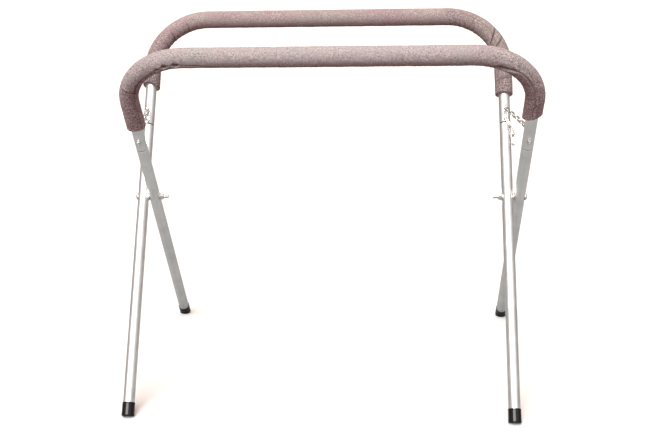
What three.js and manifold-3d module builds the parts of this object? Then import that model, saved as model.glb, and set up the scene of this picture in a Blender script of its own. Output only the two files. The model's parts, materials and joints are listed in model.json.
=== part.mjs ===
// Folding sawhorse: two identical padded U frames crossed like scissors.
// Millimetres, +Z up. X runs along the rails, Y from front to rear.
// The origin is on the floor, under the middle of the stand, and the stand is shown open.

import * as THREE from 'three';
import { mergeVertices } from 'three/addons/utils/BufferGeometryUtils.js';
import Module from 'manifold-3d';

// ---------- driving dimensions ----------

const FRAME_WIDTH = 830; // between the leg centre lines of one frame
const FRAME_OFFSET = 26.4; // sideways step from one frame's leg to the other's
const OPEN_LEAN = 36; // degrees that each frame leans from upright
const LEG_BELOW_PIVOT = 508; // pivot to floor, along the leg
const RAIL_ABOVE_PIVOT = 454; // pivot to rail centre line, along the leg
const BEND_RADIUS = 130; // centre line of the two top bends

const TUBE_RADIUS = 12.7;
const TUBE_WALL = 1.6;
const GAP = 0.4; // clearance between pieces that touch
const CHAMFER = 1; // on turned edges

const JOINT_ABOVE_PIVOT = 178; // lower leg meets top tube
const SPIGOT_LENGTH = 55; // swaged end of the lower leg, inside the top tube
const SPIGOT_RADIUS = 10.6;
const SWAGE_LENGTH = 6;
const LEG_END_ABOVE_FLOOR = 15; // along the leg, inside the foot cap

const PAD_RADIUS = 21;
const PAD_END_ABOVE_PIVOT = 261;
const PAD_SLIP = 16; // the pads have slipped round the frame by this much

const CAP_LENGTH = 33; // along the leg, down to the floor
const CAP_END_ABOVE_FLOOR = 3; // the cap's square end; its lower edge is worn flat on the floor
const CAP_RADIUS = 14.4;

const DENT_DEPTH = 1.4; // the bolt squeezes the leg flat on both sides
const DENT_FLAT = 10; // each way from the pivot
const DENT_LENGTH = 28; // each way, where the tube is round again
const PIVOT_RADIUS = 4;
const PIVOT_HEAD_RADIUS = 8;
const PIVOT_HEAD_HEIGHT = 5.6;
const PIVOT_NUT_ACROSS = 13;
const PIVOT_NUT_THICKNESS = 6.5;
const PIVOT_END_LENGTH = 12; // bare thread beyond the nut
const WASHER_RADIUS = 9;
const WASHER_THICKNESS = 1.6;

const EYE_ABOVE_PIVOT = 208;
const EYE_SHANK_RADIUS = 3;
const EYE_OUT = 24; // eye centre from the leg centre line
const EYE_RING_RADIUS = 6.5;
const EYE_WIRE_RADIUS = 2;
const EYE_COLLAR_RADIUS = 5;
const EYE_COLLAR_THICKNESS = 1.5;
const EYE_NUT_ACROSS = 10;
const EYE_NUT_THICKNESS = 5;
const EYE_END_LENGTH = 2.5; // bare thread beyond the nut

const CHAIN_LINKS = 9; // from eye to eye on each side, an odd number
const LINK_WIRE_RADIUS = 1.5;
const LINK_HALF_WIDTH = 4.75; // to the wire's centre line
const SEAT_IN_EYE = 2.5; // the end link's wire from the eye's centre
const SPARE_LINKS = { left: 2, right: 4 }; // hanging from the rear eye, beyond the taut chain
const SPARE_SLACK = 0.6; // the spare links hang loosely in one another
const SPARE_TWIST = 50; // degrees that the second spare link is rolled, to lie on the leg
const SPARE_SEAT = { out: 1.5, up: 0.3 }; // first spare link in the eye, beside the taut chain
// Each spare link's share of its length that goes sideways, off the leg, and in, towards it.
const SPARE_STEPS = [
  { sideways: 0, inward: 0.19 },
  { sideways: 0.45, inward: 0.02 },
  { sideways: 0.22, inward: 0.2 },
  { sideways: 0.04, inward: 0.04 },
];

const TUBE_SIDES = 16;
const PAD_SIDES = 18;
const HOLE_SIDES = 12;
const BEND_STEPS = 8;

// ---------- materials ----------

function metal(color, roughness) {
  return new THREE.MeshStandardMaterial({ color, roughness, metalness: 1 });
}

const PAD_FOAM = new THREE.MeshStandardMaterial({ color: 0xa38d8b, roughness: 0.95, metalness: 0 });
const ZINC_TUBE = metal(0xd4d2cf, 0.38);
const ZINC_HARDWARE = metal(0xcac8c2, 0.32);
const CHAIN_STEEL = metal(0xc2beb6, 0.35);
const CAP_VINYL = new THREE.MeshStandardMaterial({ color: 0x100d0e, roughness: 0.3, metalness: 0 });

// ---------- solids ----------

const wasm = await Module();
wasm.setup();

function solidOf(geometry) {
  const bare = geometry.clone();
  bare.deleteAttribute('normal');
  bare.deleteAttribute('uv');
  const merged = mergeVertices(bare, 1e-4);
  const vertProperties = new Float32Array(merged.attributes.position.array);
  const triVerts = new Uint32Array(merged.index.array);
  return new wasm.Manifold(new wasm.Mesh({ numProp: 3, vertProperties, triVerts }));
}

function geometryOf(solid) {
  const mesh = solid.getMesh();
  const geometry = new THREE.BufferGeometry();
  geometry.setAttribute('position', new THREE.BufferAttribute(mesh.vertProperties, 3));
  geometry.setIndex(new THREE.BufferAttribute(mesh.triVerts, 1));
  return geometry;
}

function cut(geometry, ...cutters) {
  let solid = solidOf(geometry);
  for (const cutter of cutters) {
    solid = solid.subtract(solidOf(cutter));
  }
  return geometryOf(solid);
}

function join(...geometries) {
  let solid = solidOf(geometries[0]);
  for (const other of geometries.slice(1)) {
    solid = solid.add(solidOf(other));
  }
  return geometryOf(solid);
}

function circle(radius, sides) {
  const points = [];
  for (let i = 0; i < sides; i += 1) {
    const angle = (2 * Math.PI * (i + 0.5)) / sides;
    points.push(new THREE.Vector2(radius * Math.cos(angle), radius * Math.sin(angle)));
  }
  return points;
}

function ring(outerRadius, outerSides, innerRadius, innerSides) {
  const shape = new THREE.Shape(circle(outerRadius, outerSides));
  shape.holes.push(new THREE.Path(circle(innerRadius, innerSides)));
  return shape;
}

// A path given by its stations, so that a bend gets rings and a straight needs none.
class StationPath extends THREE.Curve {
  constructor(stations) {
    super();
    this.stations = stations;
  }

  station(u) {
    return this.stations[Math.round(u * (this.stations.length - 1))];
  }

  getPointAt(u) {
    return this.station(u).point.clone();
  }

  getTangentAt(u) {
    return this.station(u).tangent.clone();
  }
}

function sweep(shape, stations) {
  return new THREE.ExtrudeGeometry(shape, {
    steps: stations.length - 1,
    extrudePath: new StationPath(stations),
  });
}

function station(x, z, tangentX, tangentZ) {
  return {
    point: new THREE.Vector3(x, 0, z),
    tangent: new THREE.Vector3(tangentX, 0, tangentZ),
  };
}

// One end of the U: up the leg from startZ, then round the bend to the rail.
// side is -1 for left and 1 for right.
function bendStations(side, startZ) {
  const half = FRAME_WIDTH / 2;
  const stations = [station(side * half, startZ, 0, 1)];
  for (let i = 0; i <= BEND_STEPS; i += 1) {
    const angle = (Math.PI / 2) * (i / BEND_STEPS);
    const x = half - BEND_RADIUS + BEND_RADIUS * Math.cos(angle);
    const z = RAIL_ABOVE_PIVOT - BEND_RADIUS + BEND_RADIUS * Math.sin(angle);
    stations.push(station(side * x, z, -side * Math.sin(angle), Math.cos(angle)));
  }
  return stations;
}

function reversed(stations) {
  return stations
    .slice()
    .reverse()
    .map(({ point, tangent }) => ({ point, tangent: tangent.clone().negate() }));
}

// Turned about Z. Each profile point is [radius, height].
function turned(profile, sides) {
  const points = profile.map(([radius, height]) => new THREE.Vector2(radius, height));
  const geometry = new THREE.LatheGeometry(points, sides);
  geometry.rotateX(Math.PI / 2);
  return geometry;
}

// A rod along X or Y, centred on the axis, from one coordinate to another.
function rod(axis, radius, from, to, sides = TUBE_SIDES) {
  const geometry = new THREE.CylinderGeometry(radius, radius, to - from, sides);
  if (axis === 'x') {
    geometry.rotateZ(-Math.PI / 2);
    geometry.translate((from + to) / 2, 0, 0);
  } else {
    geometry.translate(0, (from + to) / 2, 0);
  }
  return geometry;
}

function washer(outerRadius, innerRadius, thickness) {
  const profile = [
    [innerRadius, 0],
    [outerRadius, 0],
    [outerRadius, thickness],
    [innerRadius, thickness],
    [innerRadius, 0],
  ];
  return turned(profile, TUBE_SIDES);
}

function nut(acrossFlats, boltRadius, thickness) {
  const shape = new THREE.Shape(circle(acrossFlats / Math.sqrt(3), 6));
  shape.holes.push(new THREE.Path(circle(boltRadius + GAP, HOLE_SIDES)));
  return new THREE.ExtrudeGeometry(shape, { depth: thickness, bevelEnabled: false });
}

// ---------- pieces of one frame, with the pivot at the origin and the legs along Z ----------

// Across the tube from front to rear, at the origin.
function eyeHole() {
  return rod('y', EYE_SHANK_RADIUS + GAP, -2 * TUBE_RADIUS, 2 * TUBE_RADIUS, HOLE_SIDES);
}

function topTube() {
  const left = bendStations(-1, JOINT_ABOVE_PIVOT);
  const right = bendStations(1, JOINT_ABOVE_PIVOT);
  const shape = ring(TUBE_RADIUS, TUBE_SIDES, TUBE_RADIUS - TUBE_WALL, TUBE_SIDES);
  const tube = sweep(shape, [...left, ...reversed(right)]);
  const holes = [-1, 1].map((side) => {
    const hole = eyeHole();
    return hole.translate((side * FRAME_WIDTH) / 2, 0, EYE_ABOVE_PIVOT);
  });
  return cut(tube, ...holes);
}

// The leg's sides are pressed flat round the pivot bolt.
function dentHalfWidth(radius, z) {
  const past = (Math.abs(z) - DENT_FLAT) / (DENT_LENGTH - DENT_FLAT);
  const reach = THREE.MathUtils.clamp(past, 0, 1);
  return radius - (DENT_DEPTH * (1 + Math.cos(Math.PI * reach))) / 2;
}

function lowerLeg() {
  const inner = TUBE_RADIUS - TUBE_WALL;
  const bottom = LEG_END_ABOVE_FLOOR - LEG_BELOW_PIVOT;
  const shoulder = JOINT_ABOVE_PIVOT - GAP;
  const top = JOINT_ABOVE_PIVOT + SPIGOT_LENGTH;
  const middle = (DENT_FLAT + DENT_LENGTH) / 2;
  const dents = [-DENT_LENGTH, -middle, -DENT_FLAT, DENT_FLAT, middle, DENT_LENGTH];
  const profile = [
    [inner, bottom],
    [TUBE_RADIUS, bottom],
    ...dents.map((z) => [TUBE_RADIUS, z]),
    [TUBE_RADIUS, shoulder - CHAMFER],
    [TUBE_RADIUS - CHAMFER, shoulder],
    [SPIGOT_RADIUS, shoulder],
    [SPIGOT_RADIUS, top],
    [SPIGOT_RADIUS - TUBE_WALL, top],
    [SPIGOT_RADIUS - TUBE_WALL, shoulder - SWAGE_LENGTH],
    [inner, shoulder - 2 * SWAGE_LENGTH],
    ...dents.toReversed().map((z) => [inner, z]),
    [inner, bottom],
  ];
  const leg = turned(profile, TUBE_SIDES);
  const position = leg.attributes.position;
  for (let i = 0; i < position.count; i += 1) {
    const radius = Math.hypot(position.getX(i), position.getY(i));
    const limit = dentHalfWidth(radius, position.getZ(i));
    position.setX(i, THREE.MathUtils.clamp(position.getX(i), -limit, limit));
  }
  const pivotHole = rod('x', PIVOT_RADIUS + GAP, -2 * TUBE_RADIUS, 2 * TUBE_RADIUS);
  return cut(leg, pivotHole, eyeHole().translate(0, 0, EYE_ABOVE_PIVOT));
}

// A slip-on cap with its sole cut level with the floor when the frame leans.
function footCap() {
  const top = CAP_LENGTH - LEG_BELOW_PIVOT;
  const sole = LEG_END_ABOVE_FLOOR - LEG_BELOW_PIVOT - GAP;
  const end = CAP_END_ABOVE_FLOOR - LEG_BELOW_PIVOT;
  const socket = TUBE_RADIUS + GAP;
  const profile = [
    [0, end],
    [CAP_RADIUS - CHAMFER, end],
    [CAP_RADIUS, end + CHAMFER],
    [CAP_RADIUS, top - CHAMFER],
    [CAP_RADIUS - CHAMFER / 2, top],
    [socket, top],
    [socket, sole],
    [0, sole],
  ];
  const cap = turned(profile, TUBE_SIDES);
  const block = 4 * CAP_LENGTH;
  const floor = new THREE.BoxGeometry(block, block, block);
  floor.translate(0, 0, -block / 2);
  floor.rotateX(THREE.MathUtils.degToRad(OPEN_LEAN));
  floor.translate(0, 0, -LEG_BELOW_PIVOT);
  return cut(cap, floor);
}

function padShape() {
  return ring(PAD_RADIUS, PAD_SIDES, TUBE_RADIUS + GAP, TUBE_SIDES);
}

// The pad over one bend and down the leg; the slip makes the two legs differ.
function endPad(side) {
  return sweep(padShape(), bendStations(side, PAD_END_ABOVE_PIVOT - side * PAD_SLIP));
}

function centrePad() {
  const half = FRAME_WIDTH / 2 - BEND_RADIUS - GAP;
  const ends = [-half, half].map((x) => station(x, RAIL_ABOVE_PIVOT, 1, 0));
  return sweep(padShape(), ends);
}

// The eye is on the -Y side of the leg and the nut on the +Y side.
function eyeBolt() {
  const face = TUBE_RADIUS + GAP;
  const threadEnd = face + EYE_NUT_THICKNESS + EYE_END_LENGTH;
  const insideWire = -EYE_OUT + EYE_RING_RADIUS - EYE_WIRE_RADIUS / 2;
  const shank = rod('y', EYE_SHANK_RADIUS, insideWire, threadEnd, HOLE_SIDES);
  const collar = rod('y', EYE_COLLAR_RADIUS, -face - EYE_COLLAR_THICKNESS, -face);
  const eye = new THREE.TorusGeometry(EYE_RING_RADIUS, EYE_WIRE_RADIUS, 6, 14);
  eye.rotateY(Math.PI / 2);
  eye.translate(0, -EYE_OUT, 0);
  return join(shank, collar, eye);
}

function eyeNut() {
  const geometry = nut(EYE_NUT_ACROSS, EYE_SHANK_RADIUS, EYE_NUT_THICKNESS);
  geometry.rotateX(-Math.PI / 2);
  return geometry.translate(0, TUBE_RADIUS + GAP, 0);
}

// ---------- pivot pieces: outward is +X, with x = 0 midway between the two legs ----------

const LEG_OUTER_FACE = FRAME_OFFSET / 2 + TUBE_RADIUS - DENT_DEPTH;
const LEG_INNER_FACE = FRAME_OFFSET / 2 - TUBE_RADIUS + DENT_DEPTH;
const NUT_FACE = -LEG_OUTER_FACE - 2 * GAP - WASHER_THICKNESS;

function pivotBolt() {
  const head = LEG_OUTER_FACE + GAP;
  const tip = NUT_FACE - PIVOT_NUT_THICKNESS - PIVOT_END_LENGTH;
  const dome = [1, 0.8, 0.45, 0].map((share) => {
    const height = 0.32 + 0.68 * Math.sqrt(1 - share ** 2);
    return [PIVOT_HEAD_RADIUS * share, head + PIVOT_HEAD_HEIGHT * height];
  });
  const profile = [
    [0, tip],
    [PIVOT_RADIUS - CHAMFER, tip],
    [PIVOT_RADIUS, tip + CHAMFER],
    [PIVOT_RADIUS, head],
    [PIVOT_HEAD_RADIUS, head],
    ...dome,
  ];
  return turned(profile, TUBE_SIDES).rotateY(Math.PI / 2);
}

function pivotSpacer() {
  const half = LEG_INNER_FACE - GAP;
  const spacer = washer(WASHER_RADIUS, PIVOT_RADIUS + GAP, 2 * half);
  return spacer.translate(0, 0, -half).rotateY(Math.PI / 2);
}

function pivotWasher() {
  const flat = washer(WASHER_RADIUS, PIVOT_RADIUS + GAP, WASHER_THICKNESS);
  return flat.rotateY(Math.PI / 2).translate(NUT_FACE + GAP, 0, 0);
}

function pivotNut() {
  const geometry = nut(PIVOT_NUT_ACROSS, PIVOT_RADIUS, PIVOT_NUT_THICKNESS);
  return geometry.rotateY(-Math.PI / 2).translate(NUT_FACE, 0, 0);
}

// ---------- chain ----------

// The centre line of a link: two straights and two half circles, from one end to the other.
class LinkLoop extends THREE.Curve {
  constructor(length) {
    super();
    this.straight = length - 2 * LINK_HALF_WIDTH;
  }

  getPoint(t) {
    const arc = Math.PI * LINK_HALF_WIDTH;
    const total = 2 * (this.straight + arc);
    const along = (t % 1) * total;
    const half = total / 2;
    const flip = along < half ? 1 : -1;
    const s = along < half ? along : along - half;
    let across;
    let forward;
    if (s < arc / 2) {
      const angle = s / LINK_HALF_WIDTH;
      across = LINK_HALF_WIDTH * Math.sin(angle);
      forward = -this.straight / 2 - LINK_HALF_WIDTH * Math.cos(angle);
    } else if (s < arc / 2 + this.straight) {
      across = LINK_HALF_WIDTH;
      forward = s - arc / 2 - this.straight / 2;
    } else {
      const angle = (s - arc / 2 - this.straight) / LINK_HALF_WIDTH;
      across = LINK_HALF_WIDTH * Math.cos(angle);
      forward = this.straight / 2 + LINK_HALF_WIDTH * Math.sin(angle);
    }
    return new THREE.Vector3(flip * across, 0, flip * forward);
  }
}

function linkGeometry(length) {
  return new THREE.TubeGeometry(new LinkLoop(length), 14, LINK_WIRE_RADIUS, 6, true);
}

// A link whose end wires are centred at start and start + direction * length.
// across is the way that its width runs, before the link's own quarter turn.
function placeLink(name, start, direction, length, across, turn) {
  const mesh = new THREE.Mesh(linkGeometry(length), CHAIN_STEEL);
  mesh.name = name;
  const width = across.clone().addScaledVector(direction, -across.dot(direction)).normalize();
  width.applyAxisAngle(direction, turn);
  const depth = new THREE.Vector3().crossVectors(direction, width);
  mesh.setRotationFromMatrix(new THREE.Matrix4().makeBasis(width, depth, direction));
  mesh.position.copy(start).addScaledVector(direction, length / 2);
  return mesh;
}

// ---------- assembly ----------

const lean = THREE.MathUtils.degToRad(OPEN_LEAN);
const pivotHeight = LEG_BELOW_PIVOT * Math.cos(lean);

function piece(name, geometry, material, x = 0, z = 0) {
  const mesh = new THREE.Mesh(geometry, material);
  mesh.name = name;
  mesh.position.set(x, 0, z);
  return mesh;
}

// The front frame is the rear frame turned half round, so its own left is the stand's right.
function buildFrame(prefix, sides) {
  const frame = new THREE.Group();
  frame.add(piece(`${prefix}_top_tube`, topTube(), ZINC_TUBE));
  frame.add(piece(`${prefix}_pad_centre`, centrePad(), PAD_FOAM));
  for (const [label, side] of sides) {
    const x = (side * FRAME_WIDTH) / 2;
    frame.add(piece(`${prefix}_pad_${label}`, endPad(side), PAD_FOAM));
    frame.add(piece(`${prefix}_leg_${label}`, lowerLeg(), ZINC_TUBE, x));
    frame.add(piece(`${prefix}_foot_cap_${label}`, footCap(), CAP_VINYL, x));
    frame.add(piece(`${prefix}_eye_bolt_${label}`, eyeBolt(), ZINC_HARDWARE, x, EYE_ABOVE_PIVOT));
    frame.add(piece(`${prefix}_eye_nut_${label}`, eyeNut(), ZINC_HARDWARE, x, EYE_ABOVE_PIVOT));
  }
  frame.rotation.x = -lean;
  const placed = new THREE.Group();
  placed.add(frame);
  frame.position.x = -FRAME_OFFSET / 2;
  placed.position.z = pivotHeight;
  return placed;
}

function buildPivot(label, side) {
  const pivot = new THREE.Group();
  pivot.add(piece(`pivot_bolt_${label}`, pivotBolt(), ZINC_HARDWARE));
  pivot.add(piece(`pivot_spacer_${label}`, pivotSpacer(), ZINC_HARDWARE));
  pivot.add(piece(`pivot_washer_${label}`, pivotWasher(), ZINC_HARDWARE));
  pivot.add(piece(`pivot_nut_${label}`, pivotNut(), ZINC_HARDWARE));
  pivot.position.set((side * FRAME_WIDTH) / 2, 0, pivotHeight);
  pivot.rotation.z = side < 0 ? Math.PI : 0;
  return pivot;
}

// A point of the rear frame, from distances along X, out towards the front, and up the leg.
function onRearFrame(x, out, up) {
  const point = new THREE.Vector3(x - FRAME_OFFSET / 2, -out, up);
  point.applyAxisAngle(new THREE.Vector3(1, 0, 0), -lean);
  point.z += pivotHeight;
  return point;
}

function onFrontFrame(x, out, up) {
  const point = onRearFrame(-x, out, up);
  return new THREE.Vector3(-point.x, -point.y, point.z);
}

// The spare links leave the eye beside the taut chain and lie down the outer side of the leg.
function buildSpareLinks(label, side, pitch, length) {
  const spare = new THREE.Group();
  const x = (side * FRAME_WIDTH) / 2;
  const aside = new THREE.Vector3(1, 0, 0);
  let outward = 0;
  let out = EYE_OUT - SPARE_SEAT.out;
  let up = EYE_ABOVE_PIVOT - SEAT_IN_EYE + SPARE_SEAT.up;
  for (let i = 0; i < SPARE_LINKS[label]; i += 1) {
    const { sideways, inward } = SPARE_STEPS[i];
    const down = Math.sqrt(1 - sideways ** 2 - inward ** 2);
    const start = onRearFrame(x + side * outward, out, up);
    outward += sideways * pitch;
    out -= inward * pitch;
    up -= down * pitch;
    const next = onRearFrame(x + side * outward, out, up);
    const direction = next.clone().sub(start).normalize();
    const turn = i === 0 ? 0 : -side * THREE.MathUtils.degToRad(SPARE_TWIST + 90 * (i - 1));
    const name = `chain_${label}_spare_${i + 1}`;
    spare.add(placeLink(name, start, direction, length, aside, turn));
  }
  return spare;
}

function buildChain(label, side) {
  const chain = new THREE.Group();
  const x = (side * FRAME_WIDTH) / 2;
  const rearEye = onRearFrame(x, EYE_OUT, EYE_ABOVE_PIVOT);
  const frontEye = onFrontFrame(x, EYE_OUT, EYE_ABOVE_PIVOT);
  const direction = frontEye.clone().sub(rearEye).normalize();
  const start = rearEye.clone().addScaledVector(direction, SEAT_IN_EYE);
  const end = frontEye.clone().addScaledVector(direction, -SEAT_IN_EYE);
  const overlap = 2 * LINK_WIRE_RADIUS + GAP;
  const pitch = (start.distanceTo(end) - overlap) / CHAIN_LINKS;
  const up = new THREE.Vector3(0, 0, 1);
  const level = new THREE.Vector3().crossVectors(up, direction);
  for (let i = 0; i < CHAIN_LINKS; i += 1) {
    const linkStart = start.clone().addScaledVector(direction, i * pitch);
    const turn = (i % 2) * (Math.PI / 2);
    const name = `chain_${label}_link_${String(i + 1).padStart(2, '0')}`;
    chain.add(placeLink(name, linkStart, direction, pitch + overlap, level, turn));
  }
  chain.add(buildSpareLinks(label, side, pitch - SPARE_SLACK, pitch + overlap));
  return chain;
}

const sawhorse = new THREE.Group();
const rearFrame = buildFrame('rear', [['left', -1], ['right', 1]]);
const frontFrame = buildFrame('front', [['right', -1], ['left', 1]]);
frontFrame.rotation.z = Math.PI;
sawhorse.add(rearFrame, frontFrame);
for (const [label, side] of [['left', -1], ['right', 1]]) {
  sawhorse.add(buildPivot(label, side));
  sawhorse.add(buildChain(label, side));
}

export default sawhorse;
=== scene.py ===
# Folding sawhorse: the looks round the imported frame.
# Metres, +Z up, X along the rails, Y from front to rear, the stand open on the floor.

import json
import math

import bpy
import bmesh
import numpy as np
from mathutils import Matrix, Vector, noise


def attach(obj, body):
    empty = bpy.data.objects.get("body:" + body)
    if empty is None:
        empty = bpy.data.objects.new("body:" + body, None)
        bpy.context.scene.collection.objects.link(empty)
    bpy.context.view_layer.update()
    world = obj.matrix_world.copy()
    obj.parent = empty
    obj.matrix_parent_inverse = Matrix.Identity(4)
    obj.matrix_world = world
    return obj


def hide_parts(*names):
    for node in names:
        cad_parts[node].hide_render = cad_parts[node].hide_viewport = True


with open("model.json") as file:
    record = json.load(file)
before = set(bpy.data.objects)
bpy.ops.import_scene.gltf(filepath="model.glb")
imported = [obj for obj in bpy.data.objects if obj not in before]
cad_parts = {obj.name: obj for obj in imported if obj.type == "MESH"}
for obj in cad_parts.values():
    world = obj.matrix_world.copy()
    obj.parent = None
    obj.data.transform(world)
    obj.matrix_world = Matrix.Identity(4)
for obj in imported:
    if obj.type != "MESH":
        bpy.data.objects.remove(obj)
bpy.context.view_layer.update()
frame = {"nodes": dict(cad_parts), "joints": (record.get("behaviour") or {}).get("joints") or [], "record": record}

MM = 0.001

# ---------- driving dimensions, in metres ----------

FOLD = next(joint for joint in frame["joints"] if joint["name"] == "fold")
PIVOT = Vector(FOLD["pos_m"])
LEAN = math.radians(36)

FRAME_WIDTH = 830 * MM  # between the leg centre lines of one frame
FRAME_OFFSET = 26.4 * MM  # sideways step from one frame's leg to the other's
LEG_BELOW_PIVOT = PIVOT.z / math.cos(LEAN)
RAIL_ABOVE_PIVOT = 454 * MM
BEND_RADIUS = 130 * MM

TUBE_RADIUS = 12.7 * MM
TUBE_WALL = 1.6 * MM
TUBE_EDGE = 0.8 * MM  # chamfer at its ends
JOINT_ABOVE_PIVOT = 178 * MM  # lower leg meets top tube
SPIGOT_RADIUS = 10.6 * MM
SPIGOT_LENGTH = 55 * MM
NECK_LENGTH = 6 * MM  # the bore narrows over this length, and ends this far below the shoulder
LEG_END_ABOVE_FLOOR = 15 * MM

PAD_RADIUS = 21 * MM
PAD_BORE = 13.1 * MM
PAD_END_ABOVE_PIVOT = 261 * MM
PAD_SLIP = 16 * MM  # one end sleeve stops this much higher, the other this much lower

CAP_LENGTH = 33 * MM
CAP_RADIUS = 14.4 * MM
CAP_END_ABOVE_FLOOR = 3 * MM  # the square end; its lower edge is worn flat on the floor

DENT_DEPTH = 1.4 * MM  # the pivot bolt squeezes the legs
DENT_FLAT = 10 * MM  # half the part at full depth
DENT_LENGTH = 28 * MM  # half the whole dent
DENT_BULGE = 0.025  # share of the radius by which the squeezed tube widens
DENT_STEPS = 14  # to each side of the bolt
PIVOT_RADIUS = 4 * MM
PIVOT_HEAD_RADIUS = 8 * MM
PIVOT_HEAD_HEIGHT = 5.6 * MM
PIVOT_END_LENGTH = 12 * MM  # bolt past its nut
PIVOT_NUT_THICKNESS = 6.5 * MM
PIVOT_NUT_ACROSS = 13 * MM
PIVOT_THREAD = (1.25 * MM, 0.45 * MM)  # pitch and depth
DOME_STEPS = 14
BOLT_SIDES = 48
WASHER_RADIUS = 9 * MM
WASHER_THICKNESS = 1.6 * MM
GAP = 0.4 * MM  # clearance between pieces that fit together
JOINT_SHOWS = 1.2 * MM  # the dark line where the tubes meet

EYE_ABOVE_PIVOT = 208 * MM
EYE_SHANK_RADIUS = 3 * MM
EYE_OUT = 24 * MM  # tube's axis to the eye's centre
EYE_RING_RADIUS = 6.5 * MM
EYE_WIRE_RADIUS = 2 * MM
EYE_THREAD = (1 * MM, 0.35 * MM)  # pitch and depth
EYE_COLLAR_RADIUS = 5 * MM
EYE_COLLAR_THICKNESS = 1.5 * MM
EYE_NUT_THICKNESS = 5 * MM
EYE_NUT_ACROSS = 10 * MM
EYE_END_LENGTH = 2.5 * MM  # shank past its nut
EYE_STEPS = 56  # round the eye
NUT_CLEARANCE = 0.1 * MM
NUT_SIDES = 72  # points round a nut, 12 to each flat

LINK_BEND_STEPS = 14
LINK_SIDE_STEPS = 7
WELD_SWELL = 0.10  # share of the wire's radius
WELD_LENGTH = 1.3 * MM

SIDES = 64  # round a tube
BEND_STEPS = 36  # along a bend of the tube
STEP = 2.5 * MM  # along a sleeve
CAP_AXIS = 0.2 * MM  # a turned piece's closed end stops this far from its axis
BOLT_AXIS = 0.1 * MM
ACROSS = Vector((0, 1, 0))  # square to a frame's own plane

FOAM_MAUVE = (0.355, 0.270, 0.285)
FOAM_TAUPE = (0.375, 0.318, 0.315)
FOAM_GREY = (0.345, 0.315, 0.305)
FOAM_PALE = (0.66, 0.585, 0.59)
FOAM_DARK = (0.115, 0.072, 0.078)
FOAM_CUT = (0.56, 0.47, 0.44)
# painted shade that darkens the creases
FOAM_CREASE_SHADE = (0.06, 0.028, 0.03)

DULL_MARK = (0.45, 0.43, 0.40)
# painted shade inside the tubes and on the spigots seen in the joints' gaps
BORE_PAINTED_SHADE = (0.10, 0.085, 0.075)
BORE_EDGE = (11.5 * MM, 12.1 * MM)  # full painted shade inside the first radius, none past the second
PAINTED_SHADE_REACH = 20 * MM  # the radius at which the painted shade's ramp ends
DRAWN_LINES = (900, 900, 14)  # lines in a metre, across the tube twice and along it

VINYL_BLACK = (0.006, 0.0045, 0.005)
VINYL_SCUFF = (0.05, 0.043, 0.042)

FLOOR_SEEN = (0.86, 0.86, 0.855)
FLOOR_MIRRORED = (0.276, 0.306, 0.312)  # what the metal reflects
FLOOR_BOUNCE = (0.165, 0.105, 0.11)  # what the foam's underside is lit by
BACKDROP = (1.0, 1.0, 0.997)
ROOM_LOW = (0.150, 0.120, 0.122)  # the room's own light, at the horizon and overhead
ROOM_HIGH = (0.60, 0.52, 0.47)
MIRRORED_LOW = (0.115, 0.098, 0.088)  # the same, as the metal reflects it
MIRRORED_HIGH = (1.05, 1.03, 1.00)


# ---------- materials ----------

class Nodes:
    """Short calls for a material's nodes and links."""

    def __init__(self, name):
        self.material = bpy.data.materials.new(name)
        self.material.use_nodes = True
        self.tree = self.material.node_tree
        self.shader = self.tree.nodes["Principled BSDF"]
        self.coords = self.add("ShaderNodeTexCoord").outputs["Object"]

    def add(self, kind, inputs=None, **settings):
        node = self.tree.nodes.new(kind)
        for key, value in settings.items():
            setattr(node, key, value)
        for key, value in (inputs or {}).items():
            if isinstance(value, bpy.types.NodeSocket):
                self.tree.links.new(value, node.inputs[key])
            else:
                node.inputs[key].default_value = value
        return node

    def noise(self, scale, detail, roughness, vector=None):
        """Scale counts the waves in a metre."""
        values = {"Scale": scale, "Detail": detail, "Roughness": roughness}
        values["Vector"] = vector or self.coords
        return self.add("ShaderNodeTexNoise", values).outputs["Fac"]

    def cells(self, scale):
        values = {"Scale": scale, "Vector": self.coords}
        return self.add("ShaderNodeTexVoronoi", values).outputs["Distance"]

    def attribute(self, name, output="Fac"):
        return self.add("ShaderNodeAttribute", attribute_name=name).outputs[output]

    def ramp(self, value, *stops):
        """stops are (position, colour or grey)."""
        node = self.add("ShaderNodeValToRGB", {"Fac": value})
        elements = node.color_ramp.elements
        while len(elements) < len(stops):
            elements.new(0.5)
        for element, (position, colour) in zip(elements, stops):
            element.position = position
            grey = isinstance(colour, (int, float))
            element.color = (colour, colour, colour, 1) if grey else (*colour, 1)
        return node.outputs["Color"]

    def mix(self, factor, a, b, blend="MIX"):
        node = self.add("ShaderNodeMix", data_type="RGBA", blend_type=blend)
        for key, value in ((0, factor), (6, a), (7, b)):
            if isinstance(value, bpy.types.NodeSocket):
                self.tree.links.new(value, node.inputs[key])
            else:
                node.inputs[key].default_value = (*value, 1) if isinstance(value, tuple) else value
        return node.outputs[2]

    def maths(self, operation, a, b=0.0):
        node = self.add("ShaderNodeMath", {0: a, 1: b}, operation=operation)
        return node.outputs[0]

    def vector_maths(self, operation, *inputs):
        return self.add("ShaderNodeVectorMath", dict(enumerate(inputs)), operation=operation)

    def bump(self, height, strength, distance, normal=None):
        values = {"Height": height, "Strength": strength, "Distance": distance}
        if normal is not None:
            values["Normal"] = normal
        return self.add("ShaderNodeBump", values).outputs["Normal"]

    def set(self, **values):
        names = {
            "colour": "Base Color",
            "roughness": "Roughness",
            "metallic": "Metallic",
            "normal": "Normal",
            "sheen": "Sheen Weight",
            "sheen_roughness": "Sheen Roughness",
            "specular": "Specular IOR Level",
        }
        for key, value in values.items():
            socket = self.shader.inputs[names[key]]
            if isinstance(value, bpy.types.NodeSocket):
                self.tree.links.new(value, socket)
            else:
                socket.default_value = (*value, 1) if isinstance(value, tuple) else value
        return self.material


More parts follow.
